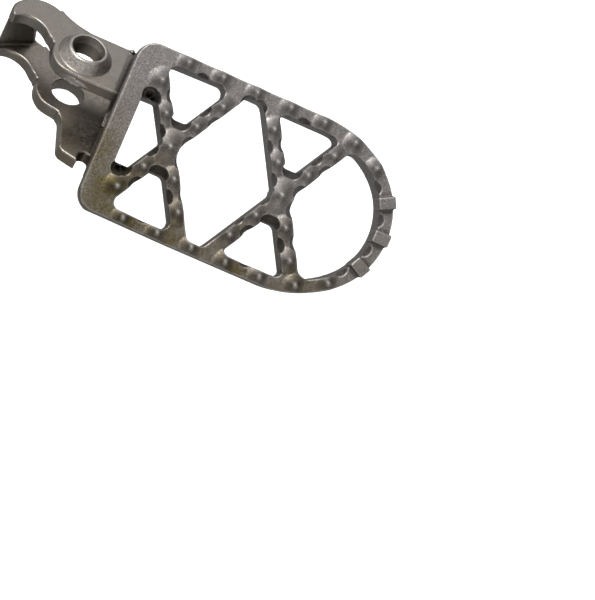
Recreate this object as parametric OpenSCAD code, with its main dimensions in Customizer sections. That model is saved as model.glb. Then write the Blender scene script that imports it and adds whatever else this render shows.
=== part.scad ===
// Off-road motorcycle foot peg: an open cast platform with gripping teeth,
// carried by two slanted hinge ears that take the pivot pin.
// Millimetres. Origin: on the pivot axis, halfway between the outer ear faces.
// +X runs out along the peg, +Y across it, +Z is the normal of the platform.

/* [Pivot and ears] */
// Bore for the pivot pin
pin_d = 10; // [8:0.1:12]
// Length over both ears along the pivot axis, boss included
hinge_w = 23.6; // [21:0.1:30]
// Tilt of the pivot axis away from the platform's normal, degrees
pivot_tilt = 43.5; // [40:0.5:48]
// Thickness of the upper ear
upper_ear_t = 4.2; // [3:0.1:6]
// Thickness of the lower ear
lower_ear_t = 4.4; // [3:0.1:6]
// Height of the boss above the upper ear
boss_h = 3.5; // [2:0.1:5]
// Wall of the boss around the bore, at its top
boss_wall = 0.9; // [0.6:0.1:2]
// Radius of the ears' round lobe on the near side of the bore
lobe_r = 10.1; // [9:0.1:11.5]
// Distance from the pivot axis to the ears' straight near edge
near_edge = 9.2; // [8.5:0.1:10]
// Distance from the pivot axis to the ears' straight far edge
far_edge = 10.8; // [9:0.1:12]
// Distance from the pivot axis to the platform's inboard wall
ear_reach = 12.4; // [12:0.1:20]
// Distance from the pivot axis to the ears' inboard end
ear_end = 24.3; // [22:0.1:26]
// How far the stop tab reaches from the pivot axis, across the ear
tab_reach = 24.3; // [20:0.1:25]

/* [Platform] */
// Length of the platform, inboard wall to nose
deck_l = 89.2; // [84:0.1:110]
// Width of the platform over the rails
deck_w = 52.4; // [48:0.1:64]
// Distance of the platform's centreline from the pivot axis, across the peg
deck_offset = 9.6; // [6:0.1:13]
// Height of the platform's flat top above the pivot axis
deck_top = 20.2; // [19:0.1:24]
// Width of the plain bar at the inboard end
bar_w = 6.6; // [5:0.1:9]
// Width of the rails and of the nose ring
rail_w = 4; // [3:0.1:6]
// Depth of the platform, from its flat top down
deck_h = 12.5; // [9:0.1:16]
// Depth at the inboard wall, where the underside sweeps down to the ears
root_h = 20; // [18:0.1:24]
// Radius of the platform's inboard corners
corner_r = 5.2; // [3:0.1:8]

/* [Braces] */
// Width of a brace at its teeth
brace_w = 4.3; // [3.5:0.1:6]
// Distance from the inboard wall to the centre of the inner cross
inner_cross_x = 19.7; // [19:0.1:24]
// Distance between the centres of the two crosses
cross_pitch = 35.5; // [33:0.1:42]
// Angle of the braces from the length of the peg, degrees
brace_angle = 60; // [55:1:64]

/* [Teeth] */
// Height of the teeth above the flat top
tooth_h = 3; // [1.5:0.1:4]
// Distance between the teeth along a brace
brace_tooth_pitch = 9.6; // [8.5:0.1:11]
// Distance between the teeth along a rail
rail_tooth_pitch = 10.8; // [9.5:0.1:13]
// Distance from the inboard wall to the first rail tooth
first_rail_tooth = 15.2; // [12:0.1:18]
// Radius of the half-round scallops between the teeth
scallop_r = 2.2; // [1.5:0.1:3]
// How deep the scallops bite into the side of a member
scallop_bite = 1.2; // [0.5:0.1:1.5]
// How far the scallops reach below the flat top
scallop_h = 5; // [3:0.1:7]
// Width of the square lugs on the nose
lug_w = 3.8; // [3:0.1:5]
// How far the lugs stand out beyond the nose
lug_out = 1; // [0.5:0.1:2]

/* [Hidden] */

$fn = 96;
cast_grey = "#85807a";
blasted_grey = "#8e8983";
big = 300;

// Outline of the platform: straight rails up to bend_x, then two long arcs and a nose arc
half_w = deck_w / 2;
nose_x = ear_reach + deck_l;
bar_x = ear_reach + bar_w;
nose_len = 30;
bend_x = nose_x - nose_len;
side_r = 34;
side_cy = side_r - half_w;
nose_r = (pow(side_r, 2) - pow(nose_len, 2) - pow(side_cy, 2)) / (2 * (side_r - nose_len));
nose_cx = nose_x - nose_r;
// Bearing of the point where the nose arc meets a long arc, from the nose arc's centre
blend_angle = atan2(side_cy, nose_cx - bend_x);

// Crosses
inner_x = ear_reach + inner_cross_x;
outer_x = inner_x + cross_pitch;
brace_half = brace_w / 2;
hub_k = brace_half / sin(2 * brace_angle);
brace_signs = [[-1, 1], [1, 1], [1, -1], [-1, -1]];

// Underside: level from the nose to sweep_x, then swept down to the inboard wall
sweep_past = 6;
sweep_x = inner_x + sweep_past;
root_web_t = bar_w - 1;
gusset_drop = scallop_h + 1;
gusset_y = 9.5;

// Levels along the pivot axis
boss_top = hinge_w / 2;
upper_top = boss_top - boss_h;
upper_bottom = upper_top - upper_ear_t;
lower_bottom = -hinge_w / 2;
lower_top = lower_bottom + lower_ear_t;
boss_top_r = pin_d / 2 + boss_wall;
boss_base_r = near_edge - 1.2;

// Outline of the ears, seen along the pivot axis
hump_r = 9;
hump_in = 8.5;
hump_v = 6.2;
hump_c = [hump_in - ear_end, hump_v];
neck_r = 7.1;
neck_shift = [-2.8, -6.8];
neck_c = hump_c + neck_shift;
// Where the lobe meets the neck, and how far each blend polygon hides inside its neighbour
lobe_in = 1.5;
blend_hide = 0.3;
// The sweep arc bites a hair into what it blends, so that the outline stays one piece
blend_bite = 0.05;
sweep_r = 12;
sweep_v = far_edge + sweep_r - blend_bite;
sweep_u = sqrt(pow(hump_r + sweep_r - blend_bite, 2) - pow(sweep_v - hump_c[1], 2)) + hump_c[0];
sweep_c = [sweep_u, sweep_v];
hump_side = hump_c + (sweep_c - hump_c) * (hump_r + 1) / (hump_r + sweep_r);
end_slant = 15;
end_near_v = 4.6;
tab_u = 5.2;
tab_round = 2;
tab_notch_r = 2;
tab_notch_in = 1.4;

// Inner face of the wall between the ears, from its near end to the ears' far edge
wall_nip = 1.7;
wall_rise = 3.3;
wall_l = 9.8;
wall_v = 9;

// Teeth
tooth_tip = 0.5;
tooth_w = 3.4;
tooth_l = 4.6;
// Circle that hollows a flank: it runs through the foot and the crest of the tooth
flank_r = 5;
flank_bite = 0.2;
flank_run = (tooth_l - tooth_tip) / 2;
flank_chord = sqrt(pow(flank_run, 2) + pow(tooth_h, 2));
flank_out = sqrt(pow(flank_r, 2) - pow(flank_chord / 2, 2));
flank_u = (tooth_l + tooth_tip) / 4 + flank_out * tooth_h / flank_chord;
flank_z = tooth_h / 2 + flank_out * flank_run / flank_chord;
// Bearings of the bend teeth, from the long arc's centre
bend_tooth_angles = [54.5, 72];
lug_angle = 27.5;
lug_inset = 3.2;
rail_mid = half_w - rail_w / 2;
rail_tooth_count = floor((bend_x - ear_reach - first_rail_tooth) / rail_tooth_pitch) + 1;

function brace_dir(k) = [
    brace_signs[k][0] * cos(brace_angle),
    brace_signs[k][1] * sin(brace_angle)
];

function on_ring(r, angle) = [nose_cx + r * cos(angle), r * sin(angle)];

function on_bend(side, r, angle) = [bend_x + r * cos(angle), side * (r * sin(angle) - side_cy)];

// ---------- shared shapes ----------

// Long arcs of the outline, from bend_x to the nose arc, moved in by inset
module long_arcs(inset) {
    intersection() {
        translate([bend_x, side_cy])
            circle(r = side_r - inset, $fn = 256);
        translate([bend_x, -side_cy])
            circle(r = side_r - inset, $fn = 256);
        translate([bend_x, -big / 2])
            square([nose_cx + (nose_r - inset) * cos(blend_angle) - bend_x, big]);
    }
}

// Nose arc of the outline, moved in by inset
module nose_arc(inset) {
    intersection() {
        translate([nose_cx, 0])
            circle(r = nose_r - inset, $fn = 256);
        translate([nose_cx + (nose_r - inset) * cos(blend_angle), -big / 2])
            square([big, big]);
    }
}

// Everything inside the rails and outboard of the plain bar
module inner_field() {
    translate([bar_x, rail_w - half_w])
        square([bend_x - bar_x, deck_w - 2 * rail_w]);
    long_arcs(rail_w);
    nose_arc(rail_w);
}

// Half of the plane beyond a line through the nose arc's centre, on its left or its right
module beyond_bearing(angle, left) {
    translate([nose_cx, 0])
        rotate(angle)
            translate([-big / 2, left ? 0 : -big])
                square([big, big]);
}

// Side view of the platform: flat top, level underside, swept root
module side_profile() {
    polygon([
        [ear_reach, deck_top],
        [nose_x, deck_top],
        [nose_x, deck_top - deck_h],
        [sweep_x, deck_top - deck_h],
        [ear_reach, deck_top - root_h]
    ]);
}

// Side view of the space under the platform
module under_profile() {
    polygon([
        [ear_reach, deck_top - root_h],
        [sweep_x, deck_top - deck_h],
        [sweep_x, -big],
        [ear_reach, -big]
    ]);
}

// A side view, drawn in X and Z, carried right across the peg
module across() {
    translate([0, big / 2, 0])
        rotate([90, 0, 0])
            linear_extrude(height = big)
                children();
}

// Gives a plan shape, drawn about the platform's centreline, the platform's depth
module cast_depth() {
    intersection() {
        translate([0, -deck_offset, deck_top - root_h])
            linear_extrude(height = root_h)
                children();
        across()
            side_profile();
    }
}

// Scallop cutter with its axis through a point of the plan
module scallop(p) {
    translate([p[0], p[1] - deck_offset, deck_top - scallop_h])
        cylinder(r1 = scallop_r - scallop_bite / 2, r2 = scallop_r, h = scallop_h + 1, $fn = 32);
}

// Scallop in the inner side of the nose ring
module ring_scallop(angle) {
    scallop(on_ring(nose_r - rail_w - scallop_r + scallop_bite, angle));
}

// Tooth standing on the flat top: a ridge across the member, which runs along turn,
// with hollow flanks that start at the tooth's foot and end at its narrow crest
module tooth(p, turn) {
    translate([p[0], p[1] - deck_offset, deck_top])
        rotate(turn)
            rotate([90, 0, 0])
                linear_extrude(height = tooth_w, center = true)
                    difference() {
                        translate([-tooth_l / 2 - flank_bite, 0])
                            square([tooth_l + 2 * flank_bite, tooth_h]);
                        for (side = [-1, 1])
                            translate([side * flank_u, flank_z])
                                circle(r = flank_r);
                    }
}

// Places what is drawn along the pivot axis: its Z becomes the pivot axis
module along_pivot() {
    rotate([-pivot_tilt, 0, 0])
        children();
}

// ---------- inboard end ----------

module mount_bar() {
    color(blasted_grey)
        cast_depth()
            difference() {
                translate([ear_reach, -half_w])
                    square([bar_w, deck_w]);
                for (side = [-1, 1])
                    translate([ear_reach, side * half_w])
                        difference() {
                            square(2 * corner_r, center = true);
                            translate([corner_r, -side * corner_r])
                                circle(r = corner_r);
                        }
            }
}

// Upright web under the bar, which carries both ears
module root_web() {
    color(cast_grey)
        intersection() {
            along_pivot()
                translate([ear_reach, -tab_reach, lower_bottom])
                    cube([root_web_t, tab_reach + far_edge, upper_top - lower_bottom]);
            across()
                under_profile();
        }
}

// Fillet block low in the corner between the bar and an inner brace
module gusset(side) {
    corner_t = (inner_x - brace_half * sin(brace_angle) - bar_x) / cos(brace_angle);
    corner_y = corner_t * sin(brace_angle) - brace_half * cos(brace_angle);
    edge_t = (gusset_y + brace_half * cos(brace_angle)) / sin(brace_angle);
    edge_x = inner_x - edge_t * cos(brace_angle) - brace_half * sin(brace_angle);
    color(cast_grey)
        difference() {
            cast_depth()
                polygon([
                    [bar_x, side * gusset_y],
                    [edge_x, side * gusset_y],
                    [bar_x, side * corner_y]
                ]);
            translate([0, -big / 2, deck_top - gusset_drop])
                cube([big, big, big]);
        }
}

module far_gusset() {
    gusset(1);
}

module near_gusset() {
    gusset(-1);
}

// ---------- rails and nose ring ----------

module rail(side) {
    color(cast_grey)
        difference() {
            cast_depth()
                translate([bar_x, side > 0 ? half_w - rail_w : -half_w])
                    square([bend_x - bar_x, rail_w]);
            for (i = [0, rail_tooth_count - 2])
                scallop([
                    ear_reach + first_rail_tooth + (i + 0.5) * rail_tooth_pitch,
                    side * (half_w - rail_w - scallop_r + scallop_bite)
                ]);
        }
}

module far_rail() {
    rail(1);
}

module near_rail() {
    rail(-1);
}

// From the end of a straight rail round to the nose ring
module bend(side) {
    color(cast_grey)
        cast_depth()
            difference() {
                intersection() {
                    translate([bend_x, -side * side_cy])
                        circle(r = side_r, $fn = 256);
                    translate([bend_x, side > 0 ? 0 : -big])
                        square([big, big]);
                }
                translate([bend_x, -side * side_cy])
                    circle(r = side_r - rail_w, $fn = 256);
                beyond_bearing(side * blend_angle, side < 0);
            }
}

module far_bend() {
    bend(1);
}

module near_bend() {
    bend(-1);
}

module nose_ring() {
    color(cast_grey)
        difference() {
            cast_depth()
                difference() {
                    translate([nose_cx, 0])
                        circle(r = nose_r, $fn = 256);
                    translate([nose_cx, 0])
                        circle(r = nose_r - rail_w, $fn = 256);
                    beyond_bearing(blend_angle, true);
                    beyond_bearing(-blend_angle, false);
                }
            for (i = [-2:1])
                ring_scallop((i + 0.5) * lug_angle);
        }
}

// ---------- crosses ----------

module hub(cx) {
    centre = [cx, 0];
    d1 = brace_dir(1) * hub_k;
    d2 = brace_dir(0) * hub_k;
    color(cast_grey)
        cast_depth()
            polygon([centre + d1 + d2, centre + d2 - d1, centre - d1 - d2, centre + d1 - d2]);
}

// Brace k of a cross, from the hub out to the rail, the bar or the nose ring
module brace(cx, k) {
    centre = [cx, 0];
    along = brace_dir(k);
    other = brace_dir((k + 1) % 4);
    normal = [-along[1], along[0]];
    a = centre + (along + other) * hub_k;
    b = centre + (along - other) * hub_k;
    color(cast_grey)
        difference() {
            cast_depth()
                intersection() {
                    polygon([a, b, b + along * deck_w, a + along * deck_w]);
                    inner_field();
                }
            for (i = [0:1])
                for (flank = [-1, 1])
                    scallop(
                        centre + along * (i + 0.5) * brace_tooth_pitch
                        + normal * flank * (brace_half + scallop_r - scallop_bite)
                    );
        }
}

module inner_hub() {
    hub(inner_x);
}

module outer_hub() {
    hub(outer_x);
}

// ---------- ears ----------

// Outline of both ears, seen along the pivot axis, without the bore
module ear_outline() {
    difference() {
        union() {
            intersection() {
                circle(r = lobe_r);
                translate([-lobe_r, -near_edge])
                    square(2 * lobe_r);
            }
            translate([0, -near_edge])
                square([ear_reach, near_edge]);
            translate([sweep_u - lobe_in, -lobe_in])
                square([ear_reach + lobe_in - sweep_u, lobe_in + far_edge]);
            translate(hump_c)
                circle(r = hump_r);
            polygon([
                hump_c,
                neck_c + [neck_r - blend_hide, blend_hide],
                [lobe_in - lobe_r, -lobe_r / 3],
                [0, 0],
                [sweep_u, far_edge - blend_hide],
                sweep_c,
                hump_side
            ]);
        }
        translate(sweep_c)
            circle(r = sweep_r);
        translate(neck_c)
            circle(r = neck_r);
        polygon([
            neck_c + [0, neck_r - blend_bite],
            [-ear_end, end_near_v],
            [-big, end_near_v],
            [-big, -big],
            neck_c + [neck_r - blend_bite, -big],
            neck_c + [neck_r - blend_bite, 0],
            neck_c
        ]);
        translate([-ear_end, (far_edge + end_near_v) / 2])
            rotate(end_slant)
                translate([-big, -big / 2])
                    square([big, big]);
    }
}

module upper_ear() {
    color(cast_grey)
        along_pivot()
            difference() {
                translate([0, 0, upper_bottom])
                    linear_extrude(height = upper_ear_t)
                        ear_outline();
                translate([0, 0, upper_bottom - 1])
                    cylinder(d = pin_d, h = upper_ear_t + 2);
            }
}

module pivot_boss() {
    color(blasted_grey)
        along_pivot()
            difference() {
                translate([0, 0, upper_top])
                    cylinder(r1 = boss_base_r, r2 = boss_top_r, h = boss_h);
                translate([0, 0, upper_top - 1])
                    cylinder(d = pin_d, h = boss_h + 2);
            }
}

module lower_ear() {
    color(cast_grey)
        along_pivot()
            difference() {
                translate([0, 0, lower_bottom])
                    linear_extrude(height = lower_ear_t)
                        ear_outline();
                translate([0, 0, lower_bottom - 1])
                    cylinder(d = pin_d, h = lower_ear_t + 2);
            }
}

// Tab that runs on from the lower ear and stops the peg against the frame
module stop_tab() {
    color(cast_grey)
        along_pivot()
            translate([0, 0, lower_bottom])
                linear_extrude(height = lower_ear_t)
                    difference() {
                        union() {
                            polygon([
                                [0, -near_edge],
                                [tab_u - tab_round, tab_round - tab_reach],
                                [tab_u, -tab_reach],
                                [ear_reach, -tab_reach],
                                [ear_reach, -near_edge]
                            ]);
                            translate([tab_u, tab_round - tab_reach])
                                circle(r = tab_round);
                        }
                        translate([ear_reach - tab_notch_in, tab_notch_r - tab_reach])
                            circle(r = tab_notch_r);
                        translate([ear_reach - tab_notch_in - tab_notch_r, -tab_reach - tab_notch_r])
                            square(2 * tab_notch_r);
                    }
}

// Wall that joins the inboard ends of the ears
module end_wall() {
    color(cast_grey)
        along_pivot()
            translate([0, 0, lower_top])
                linear_extrude(height = upper_bottom - lower_top)
                    intersection() {
                        ear_outline();
                        polygon([
                            [-big, end_near_v],
                            [wall_nip - ear_end, end_near_v + wall_rise],
                            [wall_l - ear_end, end_near_v + wall_v],
                            [wall_l - ear_end, big],
                            [-big, big]
                        ]);
                    }
}

// ---------- teeth ----------

module rail_teeth() {
    color(cast_grey)
        for (side = [-1, 1])
            for (i = [0:rail_tooth_count - 1])
                tooth([ear_reach + first_rail_tooth + i * rail_tooth_pitch, side * rail_mid], 0);
}

module bend_teeth() {
    color(cast_grey)
        for (side = [-1, 1])
            for (angle = bend_tooth_angles)
                tooth(on_bend(side, side_r - rail_w / 2, angle), side * angle + 90);
}

// Teeth of one cross: one on the hub and two on each brace
module brace_teeth(cx) {
    color(cast_grey) {
        tooth([cx, 0], brace_angle);
        for (k = [0:3])
            for (i = [1:2])
                tooth(
                    [cx, 0] + brace_dir(k) * i * brace_tooth_pitch,
                    atan2(brace_dir(k)[1], brace_dir(k)[0])
                );
    }
}

module inner_brace_teeth() {
    brace_teeth(inner_x);
}

module outer_brace_teeth() {
    brace_teeth(outer_x);
}

// Three square lugs on the nose, which stand up and out of the ring
module nose_lugs() {
    color(cast_grey)
        for (i = [-1:1])
            translate([nose_cx, -deck_offset, 0])
                rotate(i * lug_angle)
                    difference() {
                        translate([nose_r - lug_inset, -lug_w / 2, deck_top - deck_h / 2])
                            cube([lug_inset + lug_out, lug_w, deck_h / 2 + tooth_h]);
                        translate([0, 0, deck_top - deck_h])
                            cylinder(r = nose_r, h = deck_h, $fn = 256);
                    }
}

mount_bar();
root_web();
far_gusset();
near_gusset();
far_rail();
near_rail();
far_bend();
near_bend();
nose_ring();
inner_hub();
brace(inner_x, 0);  // inner_brace_1
brace(inner_x, 1);  // inner_brace_2
brace(inner_x, 2);  // inner_brace_3
brace(inner_x, 3);  // inner_brace_4
outer_hub();
brace(outer_x, 0);  // outer_brace_1
brace(outer_x, 1);  // outer_brace_2
brace(outer_x, 2);  // outer_brace_3
brace(outer_x, 3);  // outer_brace_4
upper_ear();
pivot_boss();
lower_ear();
stop_tab();
end_wall();
rail_teeth();
bend_teeth();
inner_brace_teeth();
outer_brace_teeth();
nose_lugs();
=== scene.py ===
import bpy
import numpy as np
from mathutils import Matrix, Vector
from mathutils.geometry import tessellate_polygon


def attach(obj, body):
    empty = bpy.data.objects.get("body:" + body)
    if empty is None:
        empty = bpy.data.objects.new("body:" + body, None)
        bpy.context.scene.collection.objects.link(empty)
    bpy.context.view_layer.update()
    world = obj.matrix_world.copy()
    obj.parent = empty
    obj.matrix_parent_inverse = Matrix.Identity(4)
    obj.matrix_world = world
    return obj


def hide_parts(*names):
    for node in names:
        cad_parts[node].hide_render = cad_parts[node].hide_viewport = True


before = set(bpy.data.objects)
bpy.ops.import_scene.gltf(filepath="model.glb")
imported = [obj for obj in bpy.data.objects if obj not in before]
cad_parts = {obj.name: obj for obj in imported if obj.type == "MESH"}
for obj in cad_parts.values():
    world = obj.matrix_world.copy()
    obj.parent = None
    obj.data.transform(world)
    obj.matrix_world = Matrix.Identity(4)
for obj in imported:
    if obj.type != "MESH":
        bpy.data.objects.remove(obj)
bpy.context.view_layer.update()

# ---------------------------------------------------------------------------
# The camera
# A long lens almost straight above the platform, leaning a little inboard.
# ---------------------------------------------------------------------------
camera_data = bpy.data.cameras.new("studio_camera")
camera_data.lens = 179.8
camera_data.sensor_width = 36.0
camera_place = (-0.0422, -0.0705, 0.8844)
camera = bpy.data.objects.new("studio_camera", camera_data)
bpy.context.scene.collection.objects.link(camera)
camera_right = Vector((0.9081, 0.3917, 0.1484))
camera_back = Vector((-0.1444, -0.0398, 0.9887)).normalized()
camera_up = camera_back.cross(camera_right).normalized()
camera_right = camera_up.cross(camera_back)
camera.matrix_world = Matrix.Translation(camera_place) @ Matrix(
    (camera_right, camera_up, camera_back)
).transposed().to_4x4()
bpy.context.scene.camera = camera


# ---------------------------------------------------------------------------
# The platform's outline and underside
# One investment casting in steel. Two straight rails run into long bends and
# a round nose; the underside is level, then sweeps down to the inboard wall.
# ---------------------------------------------------------------------------
# Millimetres from the pivot: centreline, flat top, inboard wall, end of the straight rails
DECK_Y = -9.6
DECK_TOP = 20.2
WALL_X = 12.4
BEND_X = 71.6
HALF_W = 26.2
RAIL_W = 4.0
CORNER_R = 6.2
# The near edge runs a little farther out along the middle of the peg
NEAR_SWELL = 0.5
SWELL_X, SWELL_RUN = 14, 32
FADE_X, FADE_RUN = 74, 16
# Long arcs of the bends, arc of the nose, and the bearing at which they meet
SIDE_R = 34.0
SIDE_CY = SIDE_R - HALF_W
NOSE_CX = 77.4
NOSE_R = 24.2
BLEND = np.arctan2(SIDE_CY, NOSE_CX - BEND_X)
# Depth at the nose, how much more at the inboard wall, and where the fall begins
NOSE_DEPTH = 12.5
ROOT_DROP = 7.5
SWEEP_X = 38.1
SWEEP_RUN = SWEEP_X - WALL_X
CROSS_RISE = 1.0


def soft_min(a, b, r):
    """Smaller of two distances, with the corner where they meet filleted over about r millimetres:
    a mix of the two minus r h (1 - h), where h runs from 0 to 1 across the corner."""
    h = np.clip(0.5 + 0.5 * (b - a) / r, 0, 1)
    return b + (a - b) * h - r * h * (1 - h)


def soft_max(a, b, r):
    """Larger of two distances, with the edge where they meet rounded over about r millimetres."""
    return -soft_min(-a, -b, r)


def round_max(a, b, r):
    """Larger of two distances, with the edge turned to a true arc of radius r: inside the arc's square
    it is the length of the two distances past the arc's centre, less r."""
    over = np.hypot(np.maximum(a + r, 0), np.maximum(b + r, 0))
    return np.minimum(np.maximum(a, b), -r) + over


def ease(t):
    """Smooth step: 3 t^2 - 2 t^3 on t held between 0 and 1."""
    t = np.clip(t, 0, 1)
    return t * t * (3 - 2 * t)


def near_swell(x):
    """How much farther out the near edge runs than the far one: rising to 0.5 mm along the rail and back
    to nothing at the nose."""
    return NEAR_SWELL * ease((x - SWELL_X) / SWELL_RUN) * (1 - ease((x - FADE_X) / FADE_RUN))


def outline(x, y, inset):
    """Distance outside the platform's edge in plan, moved in by inset: to the inboard wall and rails
    with their round corners, then to the long arcs, then to the nose arc."""
    side = np.where(y > 0, y, -y - near_swell(x))
    past_x = WALL_X + CORNER_R - x
    past_y = side - (HALF_W - CORNER_R)
    inboard = np.maximum(past_x, past_y)
    round_part = np.hypot(np.maximum(past_x, 0), np.maximum(past_y, 0))
    inboard = np.where((past_x > 0) & (past_y > 0), round_part, inboard) - CORNER_R
    bend = np.hypot(x - BEND_X, side + SIDE_CY) - SIDE_R
    nose = np.hypot(x - NOSE_CX, side) - NOSE_R
    in_nose = (x - NOSE_CX) * np.sin(BLEND) > side * np.cos(BLEND)
    edge = np.where(in_nose, nose, np.where(x > BEND_X, bend, inboard))
    return edge + inset


def underside(x, y):
    """Height of the underside: level, 12.5 mm below the flat top, then falling 7.5 mm more in a straight
    line to the inboard wall, with the bend between them eased; the outer cross sits 1 mm higher."""
    fall = (SWEEP_X - x) / SWEEP_RUN
    fall = 0.5 * (fall + np.sqrt(fall * fall + 0.02))
    well_in = ease((-outline(x, y, RAIL_W)) / 2.5) * ease((x - 46) / 8)
    return DECK_TOP - NOSE_DEPTH - ROOT_DROP * fall + CROSS_RISE * well_in


# ---------------------------------------------------------------------------
# The windows and the scallops
# Openings between the crossed braces. Their top edges are tight and scooped,
# their lower walls are straight and close in by a couple of millimetres.
# ---------------------------------------------------------------------------
BAR_X = 19.0
CROSS_X = (32.1, 67.6)
BRACE_HALF = 2.15
BRACE_ANGLE = np.radians(60)
ARM_NX = np.sin(BRACE_ANGLE)
ARM_NY = np.cos(BRACE_ANGLE)
BRACE_WAYS = ((-1, 1), (1, 1), (1, -1), (-1, -1))
NEAR_RAIL_TRIM = 0.45
OUTER_TRIM = 0.8
# Window edges at the flat top, and the wider ones lower down
TIGHT = dict(radius=2.3, bar_radius=2.0, bar_end=13.6, hub_end=5.6, arm_trim=0.0, hub_radius=2.4)
WIDE = dict(radius=2.3, bar_radius=1.1, bar_end=10.1, hub_end=8.0, arm_trim=-0.15, hub_radius=3.0)
# Pitch of the teeth along a brace and angle between the nose lugs; scallops lie half way between them
PITCH = 9.6
LUG_ANGLE = np.radians(27.5)
FLANK_SCALLOP = 3.15
RAIL_SCALLOPS_X = (33.0, 65.4)
BAR_SCALLOP = (21.0, 11.3)
FAR_RAIL_SCALLOPS = ((48.2, 20.7), (51.6, 20.7))
NOSE_SCALLOP_R = 19.2


def convex_window(x, y, lines, radius):
    """Distance outside a convex window whose sides are lines (nx, ny, c), inside where nx x + ny y < c.
    The sides move in by radius, the exact distance to that polygon is taken, and radius is given back,
    so every corner is an arc."""
    sides = np.array(lines, float)
    sides[:, 2] -= radius
    after = np.roll(sides, -1, axis=0)
    det = sides[:, 0] * after[:, 1] - sides[:, 1] * after[:, 0]
    cx = (sides[:, 2] * after[:, 1] - sides[:, 1] * after[:, 2]) / det
    cy = (sides[:, 0] * after[:, 2] - sides[:, 2] * after[:, 0]) / det
    near = None
    level = None
    for k in range(len(sides)):
        ax, ay = cx[k - 1], cy[k - 1]
        ex, ey = cx[k] - ax, cy[k] - ay
        t = np.clip(((x - ax) * ex + (y - ay) * ey) / (ex * ex + ey * ey), 0, 1)
        gap = np.hypot(x - ax - t * ex, y - ay - t * ey)
        plane = sides[k, 0] * x + sides[k, 1] * y - sides[k, 2]
        near = gap if near is None else np.minimum(near, gap)
        level = plane if level is None else np.maximum(level, plane)
    return np.where(level > 0, near, -near) - radius


def arm_line(cross, lean, outboard, trim):
    """Side line of a window along a brace: lean is +1 for the brace that runs towards -x +y, -1 for the
    one towards +x +y; outboard says on which side of the brace the window lies."""
    shift = ARM_NX * CROSS_X[cross]
    if outboard:
        return (-ARM_NX, -lean * ARM_NY, -shift - BRACE_HALF - trim)
    return (ARM_NX, lean * ARM_NY, shift - BRACE_HALF - trim)


def windows(x, y, radius, bar_radius, bar_end, hub_end, arm_trim, hub_radius):
    """Distance outside the nearest of the seven windows, with corners of the given radius and every brace
    side moved into the window by arm_trim. The window by the bar has corners of bar_radius and stops at
    bar_end from the centreline, the side windows start at hub_end from it."""
    rail = HALF_W - RAIL_W
    near_rail = rail + near_swell(x) + NEAR_RAIL_TRIM
    side = np.where(y > 0, y, -y - near_rail + rail)
    inboard = convex_window(
        x, y,
        [
            (0, 1, bar_end), (-1, 0, -BAR_X), (0, -1, bar_end),
            arm_line(0, -1, False, arm_trim), arm_line(0, 1, False, arm_trim),
        ],
        bar_radius,
    )
    side_inner = convex_window(
        x, side,
        [
            (0, 1, rail), arm_line(0, 1, True, arm_trim),
            (0, -1, -hub_end), arm_line(0, -1, False, arm_trim),
        ],
        radius,
    )
    middle = convex_window(
        x, np.where(y > 0, side, -side),
        [
            (0, 1, rail), arm_line(0, -1, True, arm_trim), arm_line(0, 1, True, arm_trim),
            (0, -1, rail), arm_line(1, -1, False, arm_trim), arm_line(1, 1, False, arm_trim),
        ],
        radius,
    )
    side_outer = convex_window(
        x, side,
        [
            (0, 1, rail + OUTER_TRIM), arm_line(1, 1, True, arm_trim),
            (0, -1, -hub_end), arm_line(1, -1, False, arm_trim),
        ],
        radius,
    )
    ring = outline(x, y, RAIL_W)
    side_outer = round_max(side_outer, ring, 0.8 * radius)
    arms = BRACE_HALF + arm_trim - (x - CROSS_X[1]) * ARM_NX + np.hypot(y, hub_radius) * ARM_NY
    nose = round_max(arms, ring, 1.4 * radius)
    both = np.minimum(np.minimum(inboard, side_inner), np.minimum(middle, side_outer))
    return np.minimum(both, nose)


def scallop_centres():
    """Plan positions of the half-round scallops: half way between the teeth on the flanks of every brace
    and inside the rails, between the lugs inside the nose, and at the two ends of the bar window."""
    spots = []
    for cx in CROSS_X:
        for sx, sy in BRACE_WAYS:
            along = np.array([sx * np.cos(BRACE_ANGLE), sy * np.sin(BRACE_ANGLE)])
            across = np.array([-along[1], along[0]])
            for step in (0.5, 1.5):
                for flank in (-1, 1):
                    if step == 0.5 and flank == sx * sy:
                        continue
                    spots.append(np.array([cx, 0]) + along * step * PITCH + across * flank * FLANK_SCALLOP)
    for side in (-1, 1):
        for x in RAIL_SCALLOPS_X:
            spots.append(np.array([x, side * (HALF_W - RAIL_W - 1.0)]))
        spots.append(np.array([BAR_SCALLOP[0], side * BAR_SCALLOP[1]]))
        if side > 0:
            spots.extend(np.array(spot) for spot in FAR_RAIL_SCALLOPS)
        for step in (0.5, 1.5):
            turn = side * step * LUG_ANGLE
            spots.append(
                np.array([NOSE_CX + NOSE_SCALLOP_R * np.cos(turn), NOSE_SCALLOP_R * np.sin(turn)])
            )
    return np.array(spots)


SCALLOPS = scallop_centres()


def nearest_scallop(x, y):
    """Distance from the axis of the nearest scallop."""
    near = None
    for sx, sy in SCALLOPS:
        gap = (x - sx) ** 2 + (y - sy) ** 2
        near = gap if near is None else np.minimum(near, gap)
    return np.sqrt(near)


# ---------------------------------------------------------------------------
# The teeth
# Ridges cast across the rails and braces, hollow on both flanks, each drawn
# up to a small point; a broader one stands where two braces cross.
# ---------------------------------------------------------------------------
TOOTH_H = 3.0
RAIL_PITCH = 10.8
FIRST_RAIL_TOOTH = 27.6
RAIL_TEETH = 5
RAIL_TOOTH_Y = 24.4
BEND_TOOTH_R = 32
BEND_TEETH_AT = np.radians((54.5, 72.0))
# Half length along the member and half width across it
HUB_TOOTH = (5.8, 5.8)
BRACE_TOOTH = (4.4, 4.4)
RAIL_TOOTH = (3.8, 4.2)
HOLLOW_POWER = 1.75
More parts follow.
